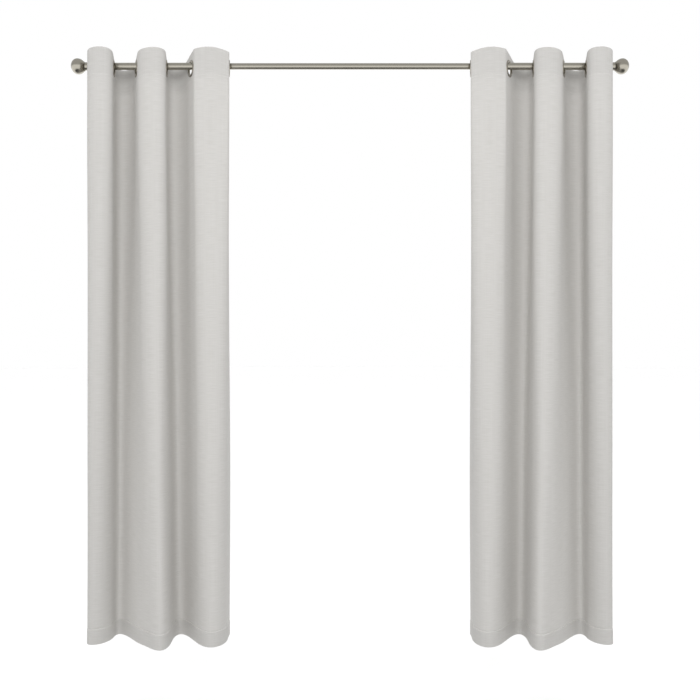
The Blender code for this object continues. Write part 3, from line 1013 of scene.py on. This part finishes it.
    def thicken(self, shape: bmesh.types.BMesh) -> None:
        """Gives the sheet its thickness, behind its face, and points every face outwards."""
        shape.normal_update()
        bmesh.ops.solidify(shape, geom=shape.faces[:], thickness=self.cloth)
        shape.normal_update()

    def stitching(self, name: str, start: float, end: float) -> bpy.types.Object:
        """Sews the stitches of one strip: along the hem and facing, and down a panel's side.

        Args:
            name: The piece's name.
            start: The width at which the strip starts.
            end: The width at which it ends.

        Returns:
            The stitches, as one piece.
        """
        pitch = self.stitch + self.stitch_gap
        widths, depths, upright = [], [], []
        low = start + (0.0 if start else self.side_hem)
        high = end - (0.0 if end < self.drape.width else self.side_hem)
        count = max(int((high - low) / pitch), 1)
        level = low + (np.arange(count) + 0.5) * (high - low) / count
        for depth in (self.facing_depth - 4 * MM, self.drape.length - self.drape.hem):
            widths.extend(level)
            depths.extend([depth] * count)
            upright.extend([False] * count)
        sides = [self.side_hem - 2 * MM] if start == 0.0 else []
        sides += [self.drape.width - self.side_hem + 2 * MM] if end == self.drape.width else []
        drop = np.arange(6 * MM, self.drape.length - 4 * MM, pitch)
        for width in sides:
            widths.extend([width] * len(drop))
            depths.extend(drop)
            upright.extend([True] * len(drop))
        w, d = np.array(widths), np.array(depths)
        in_facing = d < self.facing_depth
        proud = np.where(in_facing, self.face_proud - 0.2 * MM, self.face_proud + 0.05 * MM)
        here = self.drape.place(w, d, proud)
        out = self.drape.place(w, d, proud + MM) - here
        shape = bmesh.new()
        for centre, normal, up in zip(here, out, upright):
            self.sew(shape, Vector(centre), Vector(normal).normalized(), up)
        self.to_side(shape)
        return finish_piece(name, shape, [self.finishes.thread], 80)

    def sew(self, shape: bmesh.types.BMesh, centre: Vector, normal: Vector, upright: bool) -> None:
        """Adds one stitch: a short plump run of thread, half sunk in the cloth.

        Args:
            shape: The stitches so far.
            centre: The stitch's middle.
            normal: The direction in which the cloth faces there.
            upright: Whether the stitch runs up the cloth or across it.
        """
        run = Vector((0, 0, 1)) if upright else Vector((0, 0, 1)).cross(normal)
        basis = Matrix((run, normal.cross(run), normal)).transposed().to_4x4()
        size = Matrix.Diagonal((self.stitch / 2, 0.42 * MM, 0.34 * MM, 1))
        one = self.stitch_shape.copy()
        one.transform(Matrix.Translation(centre) @ basis @ size)
        shape.from_mesh(one)
        bpy.data.meshes.remove(one)

    def eyelet(self, i: int) -> tuple[bpy.types.Object, bpy.types.Object]:
        """Builds one eyelet: the domed face ring with its barrel, and the ring clenched behind.

        Args:
            i: The eyelet's number, from 0 at the rod's end.

        Returns:
            The face ring and the back ring.
        """
        node = f"{self.side.word}_eyelet_{i + 1}"
        low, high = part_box(f"{node}_face")
        rim = (high.z - low.z) / 2
        hole = rim - 9 * MM
        face = self.drape.facing(i)
        face.x *= -self.side.value
        x = self.side.value * -self.drape.lines(0.0)[i].point[0]
        place = along(face, (x, self.drape.rod_y, (low.z + high.z) / 2))
        rings = []
        for word, profile in (("face", self.face_ring(hole, rim)), ("back", self.back_ring(hole, rim))):
            shape = turned(profile, 72)
            shape.transform(place)
            metal = [self.finishes.eyelet_nickel]
            ring = finish_piece(f"{node}_{word}_fine", shape, metal, 50)
            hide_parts(f"{node}_{word}")
            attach(ring, self.body(i))
            rings.append(ring)
        return rings[0], rings[1]

    def face_ring(self, hole: float, rim: float) -> list[tuple[float, float]]:
        """The face ring's closed profile: a rolled dome, with a barrel that goes through the cloth.

        Args:
            hole: The radius of the hole.
            rim: The radius of the rim.

        Returns:
            The outline, as (radius, height) points above the cloth's middle.
        """
        seat = self.face_proud + 0.05 * MM
        barrel = hole + 1.2 * MM
        crest = 2.7 * MM
        middle = (hole + rim) / 2
        half = (rim - hole) / 2
        angles = [math.radians(a) for a in np.linspace(8, 172, 22)]
        dome = [(middle + half * math.cos(a), seat + 0.15 * MM + crest * math.sin(a) ** 0.8) for a in angles]
        flare = arc_points((hole + 1.3 * MM, -2.4 * MM), 1.3 * MM, 180, 300, 6)
        back = [(barrel + 0.6 * MM, -3.3 * MM), (barrel, -2.4 * MM), (barrel, seat), (rim, seat)]
        return [*back, *dome, *flare]

    def back_ring(self, hole: float, rim: float) -> list[tuple[float, float]]:
        """The back ring's closed profile: a low dome that the barrel is flared over.

        Args:
            hole: The radius of the hole.
            rim: The radius of the rim.

        Returns:
            The outline, as (radius, height) points above the cloth's middle.
        """
        seat = -self.face_proud - 0.05 * MM
        start = hole + 1.6 * MM
        middle = (start + rim) / 2
        half = (rim - start) / 2
        foot, crest = seat - 0.15 * MM, 1.9 * MM
        angles = [math.radians(a) for a in np.linspace(172, 8, 16)]
        dome = [(middle + half * math.cos(a), foot - crest * math.sin(a) ** 0.8) for a in angles]
        return [(start, seat), *dome, (rim, seat)]


# ---------------------------------------------------------------- brackets


@dataclass
class Brackets:
    """The two wall brackets with their screws, and the plugs that carry the finials."""

    finishes: Finishes
    rod_y: float
    segments: int = 64
    plate_radius: float = 14 * MM
    plate_straight: float = 24 * MM
    plate_thickness: float = 2.5 * MM
    bar: float = 5 * MM
    bar_fit: float = 5.3 * MM
    socket: float = 8 * MM
    cup_inner: float = 13 * MM
    cup_outer: float = 15.5 * MM
    cup_width: float = 16 * MM
    cup_lip: float = 3 * MM
    edge: float = 0.6 * MM
    pitch: float = 0.8 * MM

    def build(self) -> None:
        """Builds each bracket's pieces."""
        metal = self.finishes.bracket_nickel
        wall = (0.0, -1.0, 0.0)
        for side in Side:
            low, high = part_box(f"{side.word}_wall_plate")
            x = (low.x + high.x) / 2
            rod = (x, self.rod_y, 0.0)
            self.piece(f"{side.word}_wall_plate", self.plate(), along(wall, (x, 0, 0)), metal)
            low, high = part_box(f"{side.word}_bracket_arm")
            arm = self.arm(high.y - low.y)
            self.piece(f"{side.word}_bracket_arm", arm, along(wall, (x, high.y, 0)), metal)
            self.piece(f"{side.word}_rod_cradle", self.cradle(), Matrix.Translation(rod), metal)
            body = f"{side.word}_thumb_screw_body"
            self.piece(f"{side.word}_thumb_screw", self.thumb_screw(), Matrix.Translation(rod), metal, body)
            for level in ("lower", "upper"):
                node = f"{side.word}_wall_screw_{level}"
                low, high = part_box(node)
                place = (x, high.y, (low.z + high.z) / 2)
                shape = self.wall_screw((high.z - low.z) / 2, high.y - low.y)
                self.piece(node, shape, along(wall, place), self.finishes.zinc, ROOT_BODY, "zinc_screw")
            self.plug(side)

    def piece(
        self,
        node: str,
        shape: bmesh.types.BMesh,
        place: Matrix,
        material: bpy.types.Material,
        body: str = ROOT_BODY,
        slot: str = "nickel",
    ) -> None:
        """Puts a shape in a CAD node's place.

        Args:
            node: The CAD node that it replaces.
            shape: The shape, about its own origin.
            place: Where it goes.
            material: Its material.
            body: The body that it rides on.
            slot: Not used.
        """
        shape.transform(place)
        made = finish_piece(f"{node}_fine", shape, [material], 40)
        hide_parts(node)
        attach(made, body)

    def round_edges(self, shape: bmesh.types.BMesh, edges: list[bmesh.types.BMEdge], width: float) -> None:
        """Rounds edges over to a width."""
        bmesh.ops.bevel(
            shape,
            geom=edges,
            offset=width,
            offset_type="OFFSET",
            segments=3,
            profile=0.5,
            affect="EDGES",
            material=-1,
        )
        point_outwards(shape)

    def socket_ring(self, start: float, end: float) -> bmesh.types.BMesh:
        """A round socket for the arm, with a fillet at its foot and a rounded mouth."""
        r = self.edge
        foot = arc_points((self.socket + 2 * r, start + 2 * r), 2 * r, 270, 180, 5)
        mouth = arc_points((self.socket - r, end - r), r, 0, 90, 4)
        return turned([(self.bar_fit, start), *foot, *mouth, (self.bar_fit, end)], self.segments)

    def plate(self) -> bmesh.types.BMesh:
        """The oval plate with its front edge rounded, and the socket on its front."""
        shape = bmesh.new()
        turn = Matrix.Rotation(math.pi / self.segments, 4, "Z")
        bmesh.ops.create_cone(
            shape,
            cap_ends=True,
            segments=self.segments,
            radius1=self.plate_radius,
            radius2=self.plate_radius,
            depth=self.plate_thickness,
            matrix=Matrix.Translation((0, 0, self.plate_thickness / 2)) @ turn,
        )
        for vert in shape.verts:
            vert.co.y += math.copysign(self.plate_straight, vert.co.y)
        front = [e for e in shape.edges if all(v.co.z > self.plate_thickness / 2 for v in e.verts)]
        self.round_edges(shape, front, 2 * self.edge)
        merge(shape, self.socket_ring(self.plate_thickness - 0.1 * MM, self.socket))
        return shape

    def arm(self, length: float) -> bmesh.types.BMesh:
        """The round bar between the two sockets, with its ends rounded."""
        r = self.edge
        foot = arc_points((self.bar - r, r), r, -90, 0, 4)
        tip = arc_points((self.bar - r, length - r), r, 0, 90, 4)
        return turned([(0.0, 0.0), *foot, *tip, (0.0, length)], self.segments)

    def cradle(self) -> bmesh.types.BMesh:
        """The open cup that the rod lies in, with the arm's socket behind it."""
        inner, outer = self.cup_inner, self.cup_outer
        cup = [(inner, self.cup_lip), (outer, self.cup_lip), *arc_points((0, 0), outer, -4, -90, 20)]
        cup += [(-outer, -outer), (-outer, self.socket), (-inner, self.socket)]
        cup += arc_points((0, 0), inner, 180, 356, 40)
        shape = bmesh.new()
        face = shape.faces.new([shape.verts.new((-self.cup_width / 2, -front, up)) for front, up in cup])
        made = bmesh.ops.extrude_face_region(shape, geom=[face])
        moved = [item for item in made["geom"] if isinstance(item, bmesh.types.BMVert)]
        bmesh.ops.translate(shape, verts=moved, vec=(self.cup_width, 0, 0))
        point_outwards(shape)
        sharp = [e for e in shape.edges if e.calc_face_angle() > math.radians(30)]
        self.round_edges(shape, sharp, self.edge)
        ring = self.socket_ring(0.0, self.socket)
        ring.transform(along((0, 1, 0), (0, outer - 0.1 * MM, 0)))
        merge(shape, ring)
        return shape

    def thumb_screw(self) -> bmesh.types.BMesh:
        """The screw below the cup: a fluted head, and a threaded shank whose tip meets the rod."""
        top, bottom, tip = -17.5 * MM, -23.5 * MM, -13 * MM
        head, shank, r = 6 * MM, 2.4 * MM, self.edge
        profile = [(0.0, bottom), *arc_points((head - r, bottom + r), r, -90, 0, 4)]
        profile += [*arc_points((head - r, top - r), r, 0, 90, 4), (shank, top)]
        root = shank - 0.4 * MM
        for i in range(int((tip - top) / self.pitch)):
            base = top + i * self.pitch
            profile += [(shank, base + 0.1 * MM), (root, base + self.pitch / 2)]
        profile += [(root, tip), (0.0, tip)]
        flutes, depth = 24, 0.05
        shape = turned(profile, 4 * flutes)
        for vert in shape.verts:
            if math.hypot(vert.co.x, vert.co.y) > head - 0.5 * MM:
                squeeze = 1 - depth * (1 + math.cos(flutes * math.atan2(vert.co.y, vert.co.x)))
                vert.co.xy *= squeeze
        return shape

    def wall_screw(self, head: float, length: float) -> bmesh.types.BMesh:
        """A pan-head screw, cut flush with the wall, with a six-lobed drive.

        Args:
            head: The head's radius.
            length: From the wall to the top of the head.

        Returns:
            The screw, from height 0 up.
        """
        seat, drive, shank = length - 2.2 * MM, 1.3 * MM, 2.2 * MM
        crown = arc_points((head - 1.3 * MM, length - 1.3 * MM), 1.3 * MM, 0, 80, 6)
        recess = [(drive, length), (drive, length - 1.1 * MM), (0.0, length - 1.3 * MM)]
        shape = turned([(0.0, 0.0), (shank, 0.0), (shank, seat), (head, seat), *crown, *recess], 48)
        for vert in shape.verts:
            away = math.hypot(vert.co.x, vert.co.y)
            if 0.5 * MM < away < drive + 0.1 * MM and vert.co.z > seat:
                vert.co.xy *= 1 + 0.16 * math.cos(6 * math.atan2(vert.co.y, vert.co.x))
        return shape

    def plug(self, side: Side) -> None:
        """Builds the plug in a tube's end, with the stud that the finial screws onto."""
        node = f"{side.word}_finial_plug"
        low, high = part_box(node)
        near = high.x if side is Side.LEFT else low.x
        body, stud, length = (high.z - low.z) / 2, 3 * MM, high.x - low.x
        plug = 18 * MM
        profile = [(0.0, 0.0), (body - self.edge, 0.0), (body, self.edge), (body, plug), (stud, plug)]
        for i in range(int((length - plug - 2 * MM) / self.pitch)):
            base = plug + 0.4 * MM + i * self.pitch
            profile += [(stud, base), (stud - 0.45 * MM, base + self.pitch / 2)]
        profile += [(stud - self.edge, length), (0.0, length)]
        place = along((side.value, 0, 0), (near, self.rod_y, (low.z + high.z) / 2))
        owner = f"{side.word}_outer_tube_body"
        self.piece(node, turned(profile, 48), place, self.finishes.zinc, owner, "zinc_screw")


# ---------------------------------------------------------------- studio


@dataclass
class Studio:
    """The floor, the lights, the surroundings that the metal reflects, and the camera."""

    drape: Drape
    distance: float = 2.926
    eye: float = -1.031
    view_width: float = 2.545  # what the camera takes in at the rod, side to side
    sensor: float = 36.0  # in millimetres, as the camera counts it
    floor_gap: float = 250 * MM
    floor_radius: float = 60.0

    def build(self) -> None:
        """Builds the studio."""
        self.floor()
        self.lights()
        self.world()
        self.camera()

    def floor(self) -> None:
        """Lays a plain pale floor below the hems."""
        shape = bmesh.new()
        level = self.drape.top - self.drape.length - self.floor_gap
        bmesh.ops.create_circle(
            shape,
            cap_ends=True,
            segments=96,
            radius=self.floor_radius,
            matrix=Matrix.Translation((0, 0, level)),
        )
        mesh = bpy.data.meshes.new("studio_floor")
        shape.to_mesh(mesh)
        shape.free()
        floor = put_in_scene("studio_floor", mesh)
        material, _, shader = new_material("matt_white_floor_paint")
        shader.inputs["Base Color"].default_value = linear("#FCFCFC")
        shader.inputs["Roughness"].default_value = 0.9
        mesh.materials.append(material)
        floor.visible_glossy = False
        floor.visible_diffuse = False

    def lights(self) -> None:
        """Hangs a large soft light in front, one at each side, and a wide one straight overhead."""
        aim = Vector((0, self.drape.rod_y, -0.7))
        for name, place, size, power in (
            ("front_softbox", (0.0, -4.1, 0.5), 2.0, 67.0),
            ("left_softbox", (-3.2, -3.0, 0.2), 1.6, 16.0),
            ("right_softbox", (3.2, -3.0, 0.2), 1.6, 16.0),
        ):
            light = bpy.data.lights.new(name, "AREA")
            light.shape = "SQUARE"
            light.size = size
            light.energy = power
            self.hang(light, Matrix.Translation(place) @ self.facing(aim - Vector(place)))
        overhead = bpy.data.lights.new("overhead", "SUN")
        overhead.angle = math.radians(30)
        overhead.energy = 1.1
        self.hang(overhead, Matrix.Translation((0, 0, 3)))

    @staticmethod
    def facing(direction: Vector) -> Matrix:
        """The rotation that points a light's beam in a direction."""
        return direction.to_track_quat("-Z", "Y").to_matrix().to_4x4()

    @staticmethod
    def hang(light: bpy.types.Light, place: Matrix) -> None:
        """Puts a light in the scene, unseen in shiny surfaces, which reflect the room instead."""
        lamp = put_in_scene(light.name, light)
        lamp.matrix_world = place
        lamp.visible_glossy = False

    def world(self) -> None:
        """Surrounds the scene with white, which metal sees as a lit room with a dark far side."""
        world = bpy.data.worlds.new("white_room")
        bpy.context.scene.world = world
        world.use_nodes = True
        tree = world.node_tree
        tree.nodes.clear()
        coords = add_node(tree, "TexCoord", {}, {}).outputs["Generated"]
        split = add_node(tree, "SeparateXYZ", {}, {0: coords})
        ramp = add_node(tree, "ValToRGB", {}, {})
        rise = add_node(
            tree, "Math", {"operation": "MULTIPLY_ADD", 1: 0.5, 2: 0.5}, {0: split.outputs["Z"]}
        )
        tree.links.new(rise.outputs[0], ramp.inputs[0])
        stops = ramp.color_ramp.elements
        stops[0].position, stops[0].color = 0.0, (0.15, 0.15, 0.15, 1)
        stops[1].position, stops[1].color = 1.0, (0.75, 0.75, 0.75, 1)
        for position, grey in ((0.07, 0.14), (0.14, 1.5), (0.52, 1.55), (0.62, 0.72)):
            stops.new(position).color = (grey, grey, grey, 1)
        plain = add_node(tree, "Background", {"Color": (1, 1, 1, 1), "Strength": 1.0}, {})
        even = add_node(tree, "Background", {"Color": (1, 1, 1, 1), "Strength": 0.7}, {})
        behind = add_node(
            tree,
            "MapRange",
            {"From Min": 0.1, "From Max": 0.5, "To Max": 0.68},
            {"Value": split.outputs["Y"]},
        )
        brighter = {0: ramp.outputs[0], 1: behind.outputs[0]}
        level = add_node(tree, "Math", {"operation": "MAXIMUM"}, brighter)
        room = add_node(tree, "Background", {"Strength": 1.0}, {"Color": level.outputs[0]})
        path = add_node(tree, "LightPath", {}, {})
        glossy = {0: path.outputs["Is Glossy Ray"], 1: even.outputs[0], 2: room.outputs[0]}
        shiny = add_node(tree, "MixShader", {}, glossy)
        direct = {0: path.outputs["Is Camera Ray"], 1: shiny.outputs[0], 2: plain.outputs[0]}
        seen = add_node(tree, "MixShader", {}, direct)
        add_node(tree, "OutputWorld", {}, {"Surface": seen.outputs[0]})

    def camera(self) -> None:
        """Stands a level camera in front of the window, below the middle of the panels' height."""
        lens = bpy.data.cameras.new("camera")
        lens.sensor_width = self.sensor
        lens.lens = self.sensor * self.distance / self.view_width
        camera = put_in_scene("camera", lens)
        camera.location = (0, self.drape.rod_y - self.distance, self.eye)
        camera.rotation_euler = (math.radians(90), 0, 0)
        bpy.context.scene.camera = camera
        bpy.context.scene.view_settings.view_transform = "Standard"


def main() -> None:
    """Builds the rod, the brackets, both panels and the studio."""
    logging.basicConfig(level=logging.INFO, format="%(message)s")
    finishes = Finishes()
    tube_low, tube_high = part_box("left_outer_tube")
    strip_low, strip_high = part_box("left_cloth_strip_1")
    drape = Drape(
        rod_y=(tube_low.y + tube_high.y) / 2,
        rod_end=-tube_low.x,
        top=strip_high.z,
        length=strip_high.z - strip_low.z,
    )
    rod = CurtainRod(finishes)
    rod.build()
    Brackets(finishes, drape.rod_y).build()
    for side in Side:
        CurtainPanel(side, drape, finishes, rod.tubes).build()
    Studio(drape).build()


if __name__ == "__main__":
    main()
